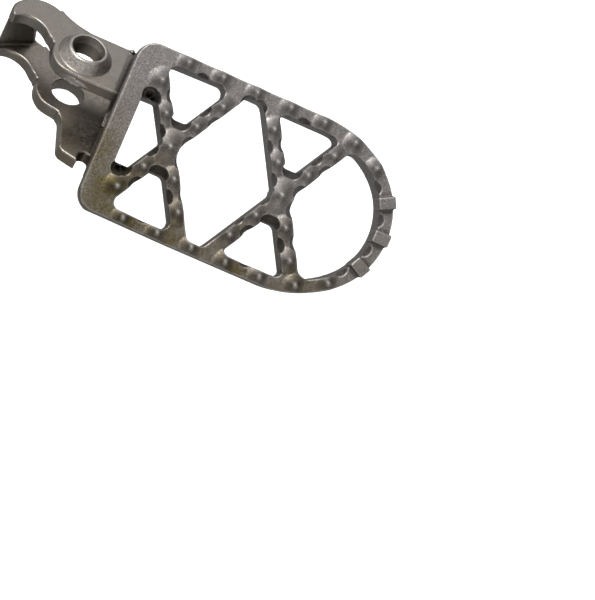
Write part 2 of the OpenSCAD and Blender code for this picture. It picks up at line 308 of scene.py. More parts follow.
# Lugs: half width, middle and half length along the radius, top above the flat, foot below it
LUG_HALF_W = 1.9
LUG_MIDDLE_IN = 2.2
LUG_HALF_L = 2.6
LUG_TOP = 2.8
LUG_FOOT = 7.0


def tooth_list():
    """Every tooth as x, y, bearing of its member, half length along it, half width across it."""
    rows = []
    for cx in CROSS_X:
        rows.append((cx, 0.0, np.pi / 4, *HUB_TOOTH))
        for sx, sy in BRACE_WAYS:
            turn = np.arctan2(sy * np.sin(BRACE_ANGLE), sx * np.cos(BRACE_ANGLE))
            for step in (1, 2):
                x = cx + np.cos(turn) * step * PITCH
                y = np.sin(turn) * step * PITCH
                rows.append((x, y, turn, *BRACE_TOOTH))
    for side in (-1, 1):
        for step in range(RAIL_TEETH):
            rows.append((FIRST_RAIL_TOOTH + step * RAIL_PITCH, side * RAIL_TOOTH_Y, 0.0, *RAIL_TOOTH))
        for turn in BEND_TEETH_AT:
            x = BEND_X + BEND_TOOTH_R * np.cos(turn)
            y = side * (BEND_TOOTH_R * np.sin(turn) - SIDE_CY)
            rows.append((x, y, side * (turn + np.pi / 2), *RAIL_TOOTH))
    return rows


TEETH = tooth_list()


def tooth_height(x, y):
    """Height of the top above the flat: for each tooth 3 mm times (1.03 - q)^1.75, where q is the
    distance from its middle with the length along the member and the width across it each measured in
    half sizes; the highest tooth counts."""
    high = None
    for tx, ty, turn, length, width in TEETH:
        along = (x - tx) * np.cos(turn) + (y - ty) * np.sin(turn)
        across = (y - ty) * np.cos(turn) - (x - tx) * np.sin(turn)
        along = np.sqrt(along * along + 0.01) / length
        across = np.sqrt(across * across + 0.01) / width
        q = np.hypot(along, across)
        rise = np.maximum(1.03 - q, 0) ** HOLLOW_POWER
        high = rise if high is None else np.maximum(high, rise)
    return TOOTH_H * high


def nose_lugs(x, y, z):
    """Three square lugs on the nose: blocks 3.8 mm wide, from inside the ring to 0.4 mm outside it,
    nearly as tall as the teeth and reaching half way down the wall."""
    block = None
    for turn in (-LUG_ANGLE, 0.0, LUG_ANGLE):
        out = (x - NOSE_CX) * np.cos(turn) + y * np.sin(turn)
        aside = np.abs(y * np.cos(turn) - (x - NOSE_CX) * np.sin(turn))
        length = np.abs(out - NOSE_R + LUG_MIDDLE_IN) - LUG_HALF_L
        lug = round_max(aside - LUG_HALF_W, length, 0.5)
        block = lug if block is None else np.minimum(block, lug)
    height = np.maximum(z - DECK_TOP - LUG_TOP, DECK_TOP - LUG_FOOT - z)
    return round_max(block, height, 0.6)


# Depth at which the windows start to close in, and over how much of it they do
CLOSE_FROM = 0.6
CLOSE_OVER = 4.5
# Lean of the outer walls, and how much more of it the inboard wall has
DRAFT = 0.012
WALL_DRAFT = 0.063
# Scallops: radius at the top, how fast they fade, and the depth at which the fading stops
SCALLOP_R = 2.3
SCALLOP_FADE = 0.42
SCALLOP_DEPTH = 6
# Rounding of the top edge, and how much more of it the inboard edge has
TOP_ROUND = 0.45
WALL_ROUND = 0.8


def platform(x, y, z):
    """Distance outside the platform: its plan, with the windows closing in with depth and the scallops
    fading with depth, cut by the toothed top and by the underside, every edge rounded."""
    depth = DECK_TOP - z
    closing = ease((depth - CLOSE_FROM) / CLOSE_OVER)
    tight = windows(x, y, **TIGHT)
    wide = windows(x, y, **WIDE)
    opening = tight + (wide - tight) * closing
    draft = DRAFT + WALL_DRAFT * np.clip((WALL_X + 5.0 - x) / 5.0, 0, 1)
    plan = np.maximum(outline(x, y, 0) + draft * depth, -opening)
    bite = SCALLOP_R - SCALLOP_FADE * np.clip(depth, 0, SCALLOP_DEPTH)
    plan = soft_max(plan, bite - nearest_scallop(x, y), 0.3)
    edge = TOP_ROUND + WALL_ROUND * np.clip((WALL_X + 2.5 - x) / 2.0, 0, 1)
    body = round_max(plan, z - DECK_TOP - tooth_height(x, y), edge)
    body = round_max(body, underside(x, y) - z, 0.6)
    return soft_min(body, nose_lugs(x, y, z), 0.5)


# ---------------------------------------------------------------------------
# The hinge ears
# Two slanted cheeks, smoothed to a satin, that take the pivot pin. They share
# one outline: a lobe round the bore, an S to the hump, and a slanted end.
# ---------------------------------------------------------------------------
# u runs along the peg, v across the ears and w along the pivot, all from the middle of the bore
TILT = np.radians(43.5)
PIN_R = 5.0
LOBE_R = 10.1
NEAR_EDGE = -9.2
FAR_EDGE = 10.8
UPPER_TOP = 8.3
UPPER_BOTTOM = 4.1
LOWER_TOP = -7.4
LOWER_BOTTOM = -11.8
EAR_ROUND = 0.7
# Middles and radii of the outline's arcs
HUMP = (-15.8, 6.2)
HUMP_R = 9.3
NECK = (-18.6, -0.6)
NECK_R = 7.1
SWEEP = (1.5, 30.8)
SWEEP_R = 20.0
# Corners of the flat stretches between the arcs
WEB = [(-15.8, 6.2), (-10.2, 0.2), (-7.5, -3.0), (0.0, -3.0), (-1.0, 21.0), (-11.8, 14.3)]
FAR_WEB = [(-3.0, -2.0), (1.0, -2.0), (1.0, FAR_EDGE), (-3.0, FAR_EDGE)]
BELOW_NECK_U = -10.9
# Slanted end: a point on it and the way it faces, 15 degrees off the length
END_POINT = (-25.0, 7.1)
END_WAY = (-0.966, -0.259)
# Stop tab: its sides, its end and the notch against the wall
TAB_SIDE_U = 0.8
TAB_WALL_U = 13.6
TAB_END_V = -24.3
NOTCH = (11.3, -23.0)
NOTCH_R = 1.9


def convex_plate(u, v, corners):
    """Distance-like field of a convex plate given by its corners, counter-clockwise: the largest of the
    distances outside its sides."""
    field = None
    for (au, av), (bu, bv) in zip(corners, corners[1:] + corners[:1]):
        length = np.hypot(bu - au, bv - av)
        past = ((bv - av) * (u - au) - (bu - au) * (v - av)) / length
        field = past if field is None else np.maximum(field, past)
    return field


def ear_plan(u, v):
    """Distance outside the ears' outline, seen along the pivot: lobe, straight part, hump and the web
    between them, less the round neck, the sweep and the slanted end."""
    lobe = round_max(np.hypot(u, v) - LOBE_R, NEAR_EDGE - v, 2.0)
    straight = np.maximum(np.maximum(-u, NEAR_EDGE - v), np.maximum(v - FAR_EDGE, u - 15))
    hump = np.maximum(np.hypot(u - HUMP[0], v - HUMP[1]) - HUMP_R, 1.4 - v)
    web = convex_plate(u, v, WEB)
    far_web = convex_plate(u, v, FAR_WEB)
    shape = np.minimum(np.minimum(lobe, straight), np.minimum(np.minimum(hump, web), far_web))
    neck = np.hypot(u - NECK[0], v - NECK[1]) - NECK_R
    sweep = np.hypot(u - SWEEP[0], v - SWEEP[1]) - SWEEP_R
    below = np.maximum(u - BELOW_NECK_U, v - NECK[1])
    lip = np.maximum(u - NECK[0], (v - 4.4 - 0.27 * (u + 24.3)) / 1.036)
    end = (u - END_POINT[0]) * END_WAY[0] + (v - END_POINT[1]) * END_WAY[1]
    shape = soft_max(shape, -sweep, 0.2)
    shape = soft_max(shape, -np.minimum(neck, np.minimum(below, lip)), 2.2)
    return round_max(shape, end, 1.2)


def stop_tab(u, v):
    """Distance outside the stop tab that runs on from the lower ear: slanted near side, square end with
    a round corner, and a round notch against the wall."""
    slant = (TAB_SIDE_U - u) * 0.980 + (-12.0 - v) * 0.198
    end = (TAB_END_V - v) * 0.970 - (u - 5.0) * 0.242
    body = round_max(np.maximum(slant, u - TAB_WALL_U), end, 1.6)
    body = np.maximum(body, v + 6)
    notch = np.hypot(u - NOTCH[0], np.maximum(v - NOTCH[1], 0)) - NOTCH_R
    return soft_max(body, -notch, 0.4)


# Boss: radius where it leaves the ear, top, and how fast the cone draws in
BOSS_R = 8.0
BOSS_TOP = 11.8
BOSS_SLOPE = 0.629
# End wall between the ears: a point on its inner face and the way it faces
INNER_POINT = (-22.6, 7.95)
INNER_WAY = (0.571, -0.821)
# Web under the bar: middle, half thickness, far end across the ears, gap below the flat top
WEB_X = 16.4
WEB_HALF = 2.0
WEB_END_V = -23.3
WEB_BELOW_TOP = 4.0
# Small pip on the web's far side
PIP = (12.6, 13.0, -0.6)
PIP_R = 0.8
# How much the lower ear's outer face rises towards its inboard end
FOOT_RISE = 1.3


def mount(x, y, z):
    """Distance outside the hinge end: both ears as rounded plates across the pivot axis, the wall that
    joins their ends, the cone of the boss, the web under the bar, and the pin's bore through them."""
    v = y * np.cos(TILT) - z * np.sin(TILT)
    w = y * np.sin(TILT) + z * np.cos(TILT)
    plan = ear_plan(x, v)
    level = np.abs(w - (UPPER_TOP + UPPER_BOTTOM) / 2) - (UPPER_TOP - UPPER_BOTTOM) / 2
    upper = round_max(plan, level, EAR_ROUND)
    low_plan = soft_min(plan, stop_tab(x, v), 3.2)
    foot = LOWER_BOTTOM + FOOT_RISE * ease((-10 - x) / 14)
    lower = round_max(low_plan, np.maximum(w - LOWER_TOP, foot - w), EAR_ROUND)
    inner = (x - INNER_POINT[0]) * INNER_WAY[0] + (v - INNER_POINT[1]) * INNER_WAY[1]
    wall_end = (x + 14.5 + 0.2 * (w - LOWER_TOP)) * 0.98
    joined = np.maximum(np.maximum(plan, inner), np.maximum(w - UPPER_TOP + 1, foot + 1 - w))
    joined = round_max(joined, wall_end, 0.6)
    r = np.hypot(x, v)
    cone = (r - BOSS_R + (w - UPPER_TOP) * BOSS_SLOPE) * 0.847
    boss = round_max(cone, w - BOSS_TOP, 0.4)
    boss = np.maximum(boss, UPPER_BOTTOM + 1 - w)
    web_v = np.maximum(v - FAR_EDGE, WEB_END_V - v)
    web_w = np.maximum(w - UPPER_TOP, LOWER_BOTTOM - w)
    web = round_max(np.maximum(web_v, web_w), np.abs(x - WEB_X) - WEB_HALF, 0.6)
    web = soft_max(web, z - DECK_TOP + WEB_BELOW_TOP, 0.6)
    body = soft_min(upper, lower, 0.6)
    body = soft_min(body, joined, 0.9)
    body = soft_min(body, boss, 0.4)
    body = soft_min(body, web, 0.9)
    pip = np.sqrt((x - PIP[0]) ** 2 + (y - PIP[1]) ** 2 + (z - PIP[2]) ** 2) - PIP_R
    body = soft_min(body, pip, 0.5)
    return soft_max(body, PIN_R - r, 0.3)


def casting(x, y, z):
    """The whole casting: platform and mount, joined with a hair of a fillet that widens to 0.9 mm at the
    lower ear."""
    w = y * np.sin(TILT) + z * np.cos(TILT)
    fillet = 0.2 + 0.9 * ease((-2 - w) / 3)
    return soft_min(platform(x, y - DECK_Y, z), mount(x, y, z), fillet)


# ---------------------------------------------------------------------------
# From the shape to a skin
# The casting is sampled on a fine lattice and its skin is drawn through the
# cells where it changes sign, then every corner is moved onto the true shape.
# ---------------------------------------------------------------------------
# Lattice spacing, reach of the differences, and how far a corner may move at a time, in millimetres
STEP = 0.3
REACH = 0.05
LARGEST_MOVE = 0.15


def slope(x, y, z):
    """Gradient of the casting's distance by central differences 0.05 mm each way, as rows of x, y, z."""
    gx = casting(x + REACH, y, z) - casting(x - REACH, y, z)
    gy = casting(x, y + REACH, z) - casting(x, y - REACH, z)
    gz = casting(x, y, z + REACH) - casting(x, y, z - REACH)
    return np.stack([gx, gy, gz], 1) / (2 * REACH)


def skin(low, high):
    """Surface nets between two corners of the lattice: each cell that the surface crosses gets one
    point, the mean of its edges' crossings, and each lattice edge that it crosses gets a face of the
    four cells round it, wound to face out. Three times over, each point then goes along its own slope
    by its distance over the slope squared, and each face is split along its shorter diagonal."""
    axes = [np.arange(np.floor(a / STEP), np.ceil(b / STEP) + 1) * STEP for a, b in zip(low, high)]
    field = casting(
        axes[0][:, None, None].astype(np.float32),
        axes[1][None, :, None].astype(np.float32),
        axes[2][None, None, :].astype(np.float32),
    ).astype(np.float32)
    inside = field < 0
    shape = np.array(field.shape)
    cells = shape - 1
    total = np.zeros((*cells, 3), np.float32)
    count = np.zeros(cells, np.float32)
    for axis in range(3):
        a = [slice(None)] * 3
        b = [slice(None)] * 3
        a[axis] = slice(None, -1)
        b[axis] = slice(1, None)
        fa, fb = field[tuple(a)], field[tuple(b)]
        cross = inside[tuple(a)] != inside[tuple(b)]
        t = np.where(cross, fa / np.where(cross, fa - fb, 1), 0)
        others = [k for k in range(3) if k != axis]
        for da in (0, 1):
            for db in (0, 1):
                pick = [slice(None)] * 3
                pick[others[0]] = slice(da, da + cells[others[0]])
                pick[others[1]] = slice(db, db + cells[others[1]])
                hit = cross[tuple(pick)]
                count += hit
                total[..., axis] += np.where(hit, t[tuple(pick)], 0)
                total[..., others[0]] += hit * da
                total[..., others[1]] += hit * db
    filled = count > 0
    number = np.full(cells, -1, np.int64)
    number[filled] = np.arange(filled.sum())
    where = np.argwhere(filled)
    points = where + total[filled] / count[filled][:, None]
    points = points * STEP + np.array([a[0] for a in axes])
    faces = []
    for axis in range(3):
        a = [slice(1, -1)] * 3
        b = [slice(1, -1)] * 3
        a[axis] = slice(None, -1)
        b[axis] = slice(1, None)
        sa, sb = inside[tuple(a)], inside[tuple(b)]
        k1, k2 = (axis + 1) % 3, (axis + 2) % 3
        start = np.argwhere(sa != sb)
        outward = sa[sa != sb]
        base = start.copy()
        base[:, k1] += 1
        base[:, k2] += 1
        ring = []
        for d1, d2 in ((-1, -1), (0, -1), (0, 0), (-1, 0)):
            cell = base.copy()
            cell[:, k1] += d1
            cell[:, k2] += d2
            ring.append(number[cell[:, 0], cell[:, 1], cell[:, 2]])
        ring = np.stack(ring, 1)
        ring[~outward] = ring[~outward][:, ::-1]
        faces.append(ring)
    quads = np.concatenate(faces)
    for _ in range(3):
        value = casting(points[:, 0], points[:, 1], points[:, 2])
        grade = slope(points[:, 0], points[:, 1], points[:, 2])
        steep = np.maximum((grade * grade).sum(1), 0.2)
        move = np.clip(-value / steep, -LARGEST_MOVE, LARGEST_MOVE)
        points = points + grade * move[:, None]
    diagonal_02 = ((points[quads[:, 0]] - points[quads[:, 2]]) ** 2).sum(1)
    diagonal_13 = ((points[quads[:, 1]] - points[quads[:, 3]]) ** 2).sum(1)
    flip = (diagonal_02 > diagonal_13)[:, None]
    first = np.where(flip, quads[:, [0, 1, 3]], quads[:, [0, 1, 2]])
    second = np.where(flip, quads[:, [1, 2, 3]], quads[:, [0, 2, 3]])
    return points, np.concatenate([first, second])


def loops_of(pairs):
    """Closed chains of corner numbers from directed pairs, each pair's end being the next one's start."""
    follow = {}
    for a, b in pairs:
        follow.setdefault(a, []).append(b)
    chains = []
    while follow:
        first = next(iter(follow))
        chain = [first]
        here = first
        while here in follow:
            onward = follow[here].pop()
            if not follow[here]:
                del follow[here]
            if onward == first:
                break
            chain.append(onward)
            here = onward
        chains.append(chain)
    return chains


def cap_of(chains, flat):
    """Triangles that close the saw cut: every outer chain is filled together with the holes that lie in
    it. Signed area, half the sum of x1 y2 - x2 y1, tells outer chains from holes; a hole belongs to the
    chain that a line from its first corner crosses an odd number of times."""
    areas = []
    for ring in flat:
        after = np.roll(ring, -1, axis=0)
        areas.append(0.5 * np.sum(ring[:, 0] * after[:, 1] - ring[:, 1] * after[:, 0]))
    if not areas:
        return np.zeros((0, 3), int)
    outward = np.sign(areas[int(np.argmax(np.abs(areas)))])
    groups = {k: [k] for k, area in enumerate(areas) if area * outward > 0}
    for k, area in enumerate(areas):
        if area * outward > 0:
            continue
        px, py = flat[k][0]
        home, least = None, None
        for g in groups:
            ring, after = flat[g], np.roll(flat[g], -1, axis=0)
            spans = (ring[:, 1] > py) != (after[:, 1] > py)
            rise = np.where(spans, after[:, 1] - ring[:, 1], 1)
            at = ring[:, 0] + (py - ring[:, 1]) / rise * (after[:, 0] - ring[:, 0])
            if np.count_nonzero(spans & (at > px)) % 2 and (least is None or abs(areas[g]) < least):
                home, least = g, abs(areas[g])
        if home is not None:
            groups[home].append(k)
    tris = []
    for members in groups.values():
        order = [i for k in members for i in chains[k]]
        rings = [[Vector((u, v, 0)) for u, v in flat[k]] for k in members]
        tris += [[order[i] for i in tri] for tri in tessellate_polygon(rings)]
    return np.array(tris, int).reshape(-1, 3)


def part(solid, plane):
    """Saws a closed skin along a plane (nx, ny, nz, c) into what lies below it and above it. Faces that
    cross it are cut at the exact crossing, and both sides are closed with the same flat cap."""
    points, tris = solid
    normal = np.array(plane[:3], float)
    normal /= np.linalg.norm(normal)
    offset = plane[3] / np.linalg.norm(plane[:3])
    height = points @ normal - offset
    height = np.where(np.abs(height) < 1e-5, 1e-5, height)
    above = height > 0
    kinds = above[tris].sum(1)
    mixed = tris[(kinds > 0) & (kinds < 3)]
    if not len(mixed):
        return (points, tris[kinds == 0]), (points, tris[kinds == 3])
    lone_above = above[mixed].sum(1) == 1
    lone = np.where(lone_above[:, None], above[mixed], ~above[mixed]).argmax(1)
    rows = np.arange(len(mixed))
    p = mixed[rows, lone]
    q = mixed[rows, (lone + 1) % 3]
    r = mixed[rows, (lone + 2) % 3]
    pairs = np.sort(np.concatenate([np.stack([p, q], 1), np.stack([p, r], 1)]), 1)
    unique, back = np.unique(pairs, axis=0, return_inverse=True)
    back = back.ravel()
    ha, hb = height[unique[:, 0]], height[unique[:, 1]]
    t = (ha / (ha - hb))[:, None]
    fresh = points[unique[:, 0]] * (1 - t) + points[unique[:, 1]] * t
    pq = back[: len(p)] + len(points)
    pr = back[len(p):] + len(points)
    points = np.concatenate([points, fresh])
    corner = np.stack([p, pq, pr], 1)
    rest_1 = np.stack([pq, q, r], 1)
    rest_2 = np.stack([pq, r, pr], 1)
    low_tris = [tris[kinds == 0], corner[~lone_above], rest_1[lone_above], rest_2[lone_above]]
    high_tris = [tris[kinds == 3], corner[lone_above], rest_1[~lone_above], rest_2[~lone_above]]
    seam = np.where(lone_above[:, None], np.stack([pq, pr], 1), np.stack([pr, pq], 1))
    chains = [c for c in loops_of(seam.tolist()) if len(c) > 2]
    guide = np.eye(3)[np.argmin(np.abs(normal))]
    side = np.cross(normal, guide)
    side /= np.linalg.norm(side)
    rise = np.cross(normal, side)
    flat = [np.stack([points[c] @ side, points[c] @ rise], 1) for c in chains]
    cap = cap_of(chains, flat)
    if len(cap):
        a, b, c = points[cap[:, 0]], points[cap[:, 1]], points[cap[:, 2]]
        turned = np.cross(b - a, c - a) @ normal < 0
        cap[turned] = cap[turned][:, ::-1]
        low_tris.append(cap)
        high_tris.append(cap[:, ::-1])
    return (points, np.concatenate(low_tris)), (points, np.concatenate(high_tris))


def plan_line(nx, ny, c):
    """Upright plane over a line nx x + ny y = c drawn about the platform's centreline."""
    return (nx, ny, 0.0, c + ny * DECK_Y)


def pivot_level(w):
    """Plane square to the pivot axis at level w along it."""
    return (0.0, np.sin(TILT), np.cos(TILT), w)


def weld(*solids):
    """Several closed skins as one."""
    points, tris, start = [], [], 0
    for p, t in solids:
        points.append(p)
        tris.append(t + start)
        start += len(p)
    return np.concatenate(points), np.concatenate(tris)


# ---------------------------------------------------------------------------
# From the skin to a piece
# Each member gets a part of the skin, and the casting's own slope to shade it,
# so that the light runs on over the joins as it does on one casting.
# ---------------------------------------------------------------------------
# Millimetres around a corner that tell an edge, and out from it that tell a hollow, which the steel
# darkens with painted shade
EDGE_REACH = 0.55
EDGE_GAIN = 2.2
HOLLOW_REACHES = (1.0, 2.4, 5.0)
# A face whose corners' slopes all lie this close to its own is skin; the others are saw cuts
ON_THE_SKIN = 0.35


def make_piece(name, solid, metal):
    """Puts a sawn piece in the scene in metres, standing for its CAD node. Normals come from the
    casting's own slope, so that shading runs unbroken over the saw cuts; the caps stay flat. Two
    values ride on the corners: edge, half plus the mean of the distances around the corner over their
    reach, so it is high on a bulge, and hollow, the share by which the distances out along the normal
    fall short of how far they went, an ambient-occlusion measure that the steel uses for painted shade."""
    points, tris = solid
    used, back = np.unique(tris, return_inverse=True)
    points = points[used]
    tris = back.reshape(-1, 3)
    mesh = bpy.data.meshes.new(name)
    mesh.from_pydata((points / 1000).tolist(), [], tris.tolist())
    mesh.validate()
    tris = np.empty(len(mesh.loops), np.int64)
    mesh.loops.foreach_get("vertex_index", tris)
    tris = tris.reshape(-1, 3)
    grade = slope(points[:, 0], points[:, 1], points[:, 2])
    normal = grade / np.maximum(np.linalg.norm(grade, axis=1), 1e-6)[:, None]
    around = np.zeros(len(points))
    for axis in range(3):
        for way in (-EDGE_REACH, EDGE_REACH):
            p = points.copy()
            p[:, axis] += way
            around += casting(p[:, 0], p[:, 1], p[:, 2])
    edge = np.clip(0.5 + around / 6 / EDGE_REACH * EDGE_GAIN, 0, 1)
    # Hollow: how closed in each corner is, an ambient-occlusion measure that becomes painted shade in the
    # steel
    painted_shade = np.zeros(len(points))
    for far in HOLLOW_REACHES:
        p = points + normal * far
        painted_shade += np.clip(1 - casting(p[:, 0], p[:, 1], p[:, 2]) / far, 0, 1) / len(HOLLOW_REACHES)
    for label, value in (("edge", edge), ("hollow", painted_shade)):
        layer = mesh.attributes.new(label, "FLOAT", "POINT")
        layer.data.foreach_set("value", value.astype(np.float32))
    corners = points[tris]
    face = np.cross(corners[:, 1] - corners[:, 0], corners[:, 2] - corners[:, 0])
    face /= np.maximum(np.linalg.norm(face, axis=1), 1e-12)[:, None]
    loops = normal[tris]
    agree = (loops * face[:, None, :]).sum(2).min(1) > ON_THE_SKIN
    loops = np.where(agree[:, None, None], loops, face[:, None, :])
    mesh.polygons.foreach_set("use_smooth", np.ones(len(tris), bool))
    mesh.normals_split_custom_set(loops.reshape(-1, 3).tolist())
    piece = bpy.data.objects.new("cast_" + name, mesh)
    bpy.context.scene.collection.objects.link(piece)
    piece.data.materials.append(metal)
    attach(piece, "root")
    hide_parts(name)


# ---------------------------------------------------------------------------
# The steel
# One cast steel all over. Shot-blasting leaves it matt and grainy, a boot wears its edges bright,
# its near side has a faint brown stain, and its hollows are darkened with painted shade.
# ---------------------------------------------------------------------------
# Sizes of the cloudy stains and, against the grit, of the flecks, in millimetres
CLOUD_MM = 9.0
FLECK_TO_GRIT = 1.3
# The stain grows across the peg from 12 mm far of the pivot to 22 mm near of it, in metres
STAIN_FROM = 0.012
STAIN_FULL = -0.022
STAIN_SLANT = 0.22
# How far the flecks move the roughness either way
FLECK_ROUGHNESS = 0.12


def linear(hex_colour):
    """sRGB hex to linear: below 0.04045 a straight 1/12.92, above it ((c + 0.055) / 1.055)^2.4."""
    parts = [int(hex_colour[i:i + 2], 16) / 255 for i in (1, 3, 5)]
    return tuple(c / 12.92 if c <= 0.04045 else ((c + 0.055) / 1.055) ** 2.4 for c in parts) + (1.0,)


def add(tree, kind, links=None, **settings):
    """Adds a node. Settings whose names are the node's own are set on it, the others are input sockets,
    with _ for a space; links maps an input to another node's output."""
    node = tree.nodes.new(kind)
    for key, value in settings.items():
        if hasattr(node, key):
            setattr(node, key, value)
        else:
            spot = int(key[1:]) if key[1:].isdigit() else key.replace("_", " ")
            node.inputs[spot].default_value = value
    for key, output in (links or {}).items():
        tree.links.new(output, node.inputs[key])
    return node


def cast_steel(name, base, lit, painted_shade_colour, stain, grit_mm, grit_depth, spread, roughness, wear):
    """Cast steel: base colour, lighter where shot or a boot has worn an edge, darkened with painted
    shade in hollows, and with cloudy stains towards the near side. The grit, grit_mm across and
    grit_depth deep in millimetres, colours it by plus or minus spread and stands up as bump."""
    metal = bpy.data.materials.new(name)
    metal.use_nodes = True
    tree = metal.node_tree
    tree.nodes.clear()
    place = add(tree, "ShaderNodeTexCoord").outputs["Object"]
    grit = add(
        tree, "ShaderNodeTexNoise", {"Vector": place}, Scale=1000 / grit_mm, Detail=3.0, Roughness=0.65,
    )
    cloud = add(
        tree, "ShaderNodeTexNoise", {"Vector": place}, Scale=1000 / CLOUD_MM, Detail=3.0, Roughness=0.6,
    )
    fleck = add(tree, "ShaderNodeTexVoronoi", {"Vector": place}, Scale=1000 / (grit_mm * FLECK_TO_GRIT))
    edge = add(tree, "ShaderNodeAttribute", attribute_name="edge").outputs["Fac"]
    hollow = add(tree, "ShaderNodeAttribute", attribute_name="hollow").outputs["Fac"]
    spots = add(tree, "ShaderNodeSeparateXYZ", {"Vector": place})
    toward = add(
        tree, "ShaderNodeMath", {0: spots.outputs["X"], 2: spots.outputs["Y"]},
        operation="MULTIPLY_ADD", _1=STAIN_SLANT,
    )
    corner = add(
        tree, "ShaderNodeMapRange", {"Value": toward.outputs[0]},
        From_Min=STAIN_FROM, From_Max=STAIN_FULL, To_Min=0.0, To_Max=0.95, clamp=True,
    )
    patch = add(
        tree, "ShaderNodeMapRange", {"Value": cloud.outputs["Fac"]},
        From_Min=0.30, From_Max=0.62, To_Min=0.25, To_Max=1.0, clamp=True,
    )
    amount = add(tree, "ShaderNodeMath", {0: patch.outputs[0], 1: corner.outputs[0]}, operation="MULTIPLY")
    colour = add(
        tree, "ShaderNodeMix", {"Factor": amount.outputs[0]}, data_type="RGBA",
        _6=linear(base), _7=linear(stain),
    )
    grain = add(
        tree, "ShaderNodeMapRange", {"Value": grit.outputs["Fac"]},
        From_Min=0.36, From_Max=0.64, To_Min=1 - spread, To_Max=1 + spread, clamp=True,
    )
    grained = add(
        tree, "ShaderNodeMix", {6: colour.outputs[2], 7: grain.outputs[0]}, data_type="RGBA",
        blend_type="MULTIPLY", Factor=1.0,
    )
    worn = add(
        tree, "ShaderNodeMapRange", {"Value": edge},
        From_Min=0.62, From_Max=0.95, To_Min=0.0, To_Max=wear, clamp=True,
    )
    brighter = add(
        tree, "ShaderNodeMix", {"Factor": worn.outputs[0], 6: grained.outputs[2]}, data_type="RGBA",
        _7=linear(lit),
    )
    # Painted shade: the hollow measure, an ambient occlusion, mixes the colour up to 85 percent towards
    # the shade colour
    painted_shade = add(
        tree, "ShaderNodeMapRange", {"Value": hollow},
        From_Min=0.22, From_Max=0.75, To_Min=0.0, To_Max=0.85, clamp=True,
    )
    darker = add(
        tree, "ShaderNodeMix", {"Factor": painted_shade.outputs[0], 6: brighter.outputs[2]}, data_type="RGBA",
        _7=linear(painted_shade_colour),
    )
    sheen = add(
        tree, "ShaderNodeMapRange", {"Value": fleck.outputs["Color"]},
        From_Min=0.0, From_Max=1.0,
        To_Min=roughness - FLECK_ROUGHNESS, To_Max=roughness + FLECK_ROUGHNESS, clamp=True,
    )
    bump = add(
        tree, "ShaderNodeBump", {"Height": grit.outputs["Fac"]}, Strength=1.0, Distance=grit_depth / 1000,
    )
    shader = add(
        tree, "ShaderNodeBsdfPrincipled",
        {"Base Color": darker.outputs[2], "Roughness": sheen.outputs[0], "Normal": bump.outputs[0]},
        Metallic=1.0,
    )
    add(tree, "ShaderNodeOutputMaterial", {"Surface": shader.outputs[0]})
    return metal


# ---------------------------------------------------------------------------
# The hinge end
# Boss, ears, end wall, stop tab and the web under the bar, sawn from the
# casting. They are cast in one with the platform and then smoothed.
# ---------------------------------------------------------------------------
CUT_X = 11.5
BAR_CUT = BAR_X + 0.8
# Saw planes stand this far off the flat faces beside them
OFF_FACE = 0.5
BOSS_OFF_FACE = 0.25
TAB_OFF_EDGE = 0.7
# The web and the bar part along the underside's fall, just under half a millimetre below it
UNDER_OFF = 12.0 / SWEEP_RUN
UNDER_BAR = (
    -ROOT_DROP, 0.0, SWEEP_RUN,
    -ROOT_DROP * WALL_X + SWEEP_RUN * (DECK_TOP - NOSE_DEPTH - ROOT_DROP - UNDER_OFF),
)

# Satin cast steel: smooth enough to carry soft highlights. The grit is under 0.1 mm; it is drawn
# at 0.4 mm so that it shows at all.
satin = cast_steel(
    "satin_cast_steel", base="#8a857f", lit="#aea9a3", painted_shade_colour="#24221f", stain="#857c6c",
    grit_mm=0.4, grit_depth=0.012, spread=0.06, roughness=0.40, wear=0.3,
)
# Rough-blasted boss: the same steel left coarse, so it looks speckled; its paler base colour is painted
# light on its upturned cone. The grit is drawn at 0.6 mm, about twice its real size.
lit_boss_steel = cast_steel(
    "rough_blasted_boss_painted_light", base="#b4afa8", lit="#aea9a3", painted_shade_colour="#24221f", stain="#857c6c",
    grit_mm=0.6, grit_depth=0.09, spread=0.2, roughness=0.46, wear=0.2,
)

hinge_parts = {}
mount_skin = skin((-27.0, -29.0, -23.0), (21.0, 19.0, 18.0))
hinge_end, web_end = part(mount_skin, (1, 0, 0, CUT_X))
below, hinge_parts["pivot_boss"] = part(hinge_end, pivot_level(UPPER_TOP + BOSS_OFF_FACE))
below, hinge_parts["upper_ear"] = part(below, pivot_level(UPPER_BOTTOM - OFF_FACE))
lower, hinge_parts["end_wall"] = part(below, pivot_level(LOWER_TOP + OFF_FACE))
tab_cut = (0, np.cos(TILT), -np.sin(TILT), NEAR_EDGE - TAB_OFF_EDGE)
hinge_parts["stop_tab"], hinge_parts["lower_ear"] = part(lower, tab_cut)
web_end, _ = part(web_end, (1, 0, 0, BAR_CUT))
hinge_parts["root_web"], _ = part(web_end, UNDER_BAR)
for name, solid in hinge_parts.items():
    if name == "pivot_boss":
        make_piece(name, solid, lit_boss_steel)
    else:
        make_piece(name, solid, satin)

# ---------------------------------------------------------------------------
# The platform
# Bar, gussets, rails, bends, nose ring, hubs, braces and the teeth on them,
# sawn from the casting. It is left as the foundry's shot-blast leaves it.
# ---------------------------------------------------------------------------
TOOTH_FOOT = (0.0, 0.0, 1.0, DECK_TOP + 0.11)
RAIL_CUT = HALF_W - RAIL_W - 0.8
# Steps along x and y from a bend's outboard end to its inboard end, and a hub's half diagonals
BEND_CHORD = (7.2, 17.8)
HUB_HALF_X = 2.48
HUB_HALF_Y = 4.3

